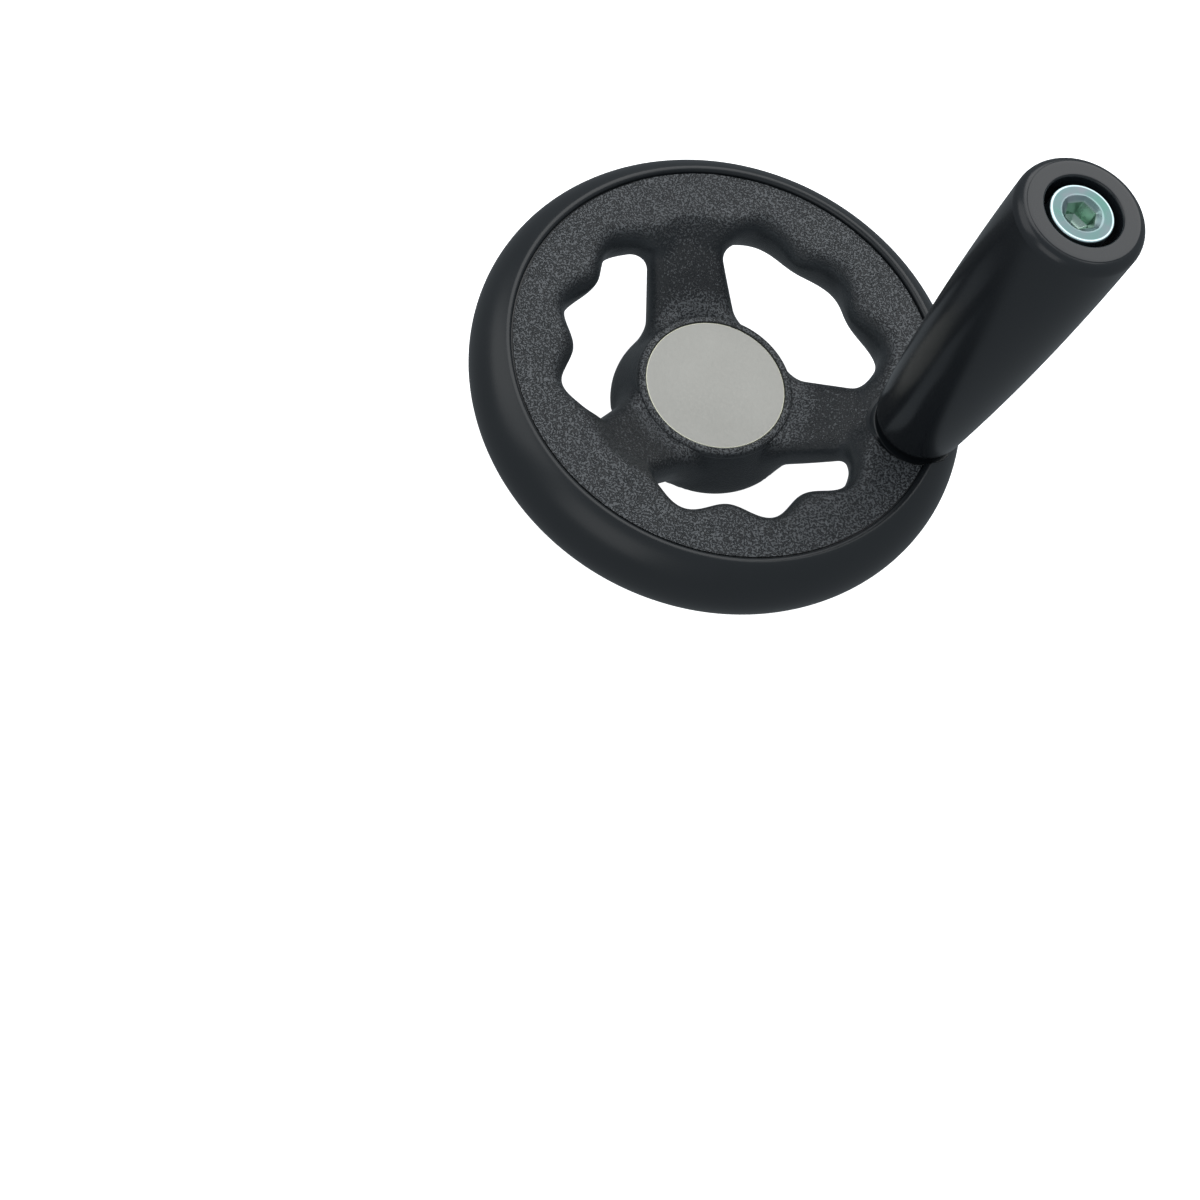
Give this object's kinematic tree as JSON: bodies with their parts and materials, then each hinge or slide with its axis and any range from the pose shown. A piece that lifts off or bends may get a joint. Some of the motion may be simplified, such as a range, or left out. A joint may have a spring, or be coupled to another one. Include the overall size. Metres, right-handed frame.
{
  "type": "machine handwheel",
  "caption": "Spoked machine handwheel with a moulded rim, a metal hub sleeve for a shaft and a revolving side handle.",
  "frame": {"origin": "centre of the hub sleeve's back end face, on the shaft axis", "axes": "+Z along the shaft towards the front of the wheel, +X towards the revolving handle"},
  "size_m": [0.125, 0.125, 0.1258],
  "materials": {
    "wheel_moulding": "black moulding, smooth outside and grained inside the seam",
    "sleeve_metal": "turned, satin",
    "disc_metal": "matt satin",
    "insert_brass": "turned, bright",
    "grip_moulding": "polished black",
    "spindle_steel": "zinc plated, faintly blue-green"
  },
  "bodies": {
    "wheel": {"wheel_body": "wheel_moulding", "hub_sleeve": "sleeve_metal", "cover_disc": "disc_metal", "handle_insert": "insert_brass", "handle_spindle": "spindle_steel"},
    "handle": {"handle_grip": "grip_moulding"}
  },
  "joints": [
    {"name": "handle_spin", "type": "hinge", "parent": "wheel", "child": "handle", "pos_m": [0.0483, 0, 0.0833], "axis": [0, 0, 1], "continuous": true}
  ]
}
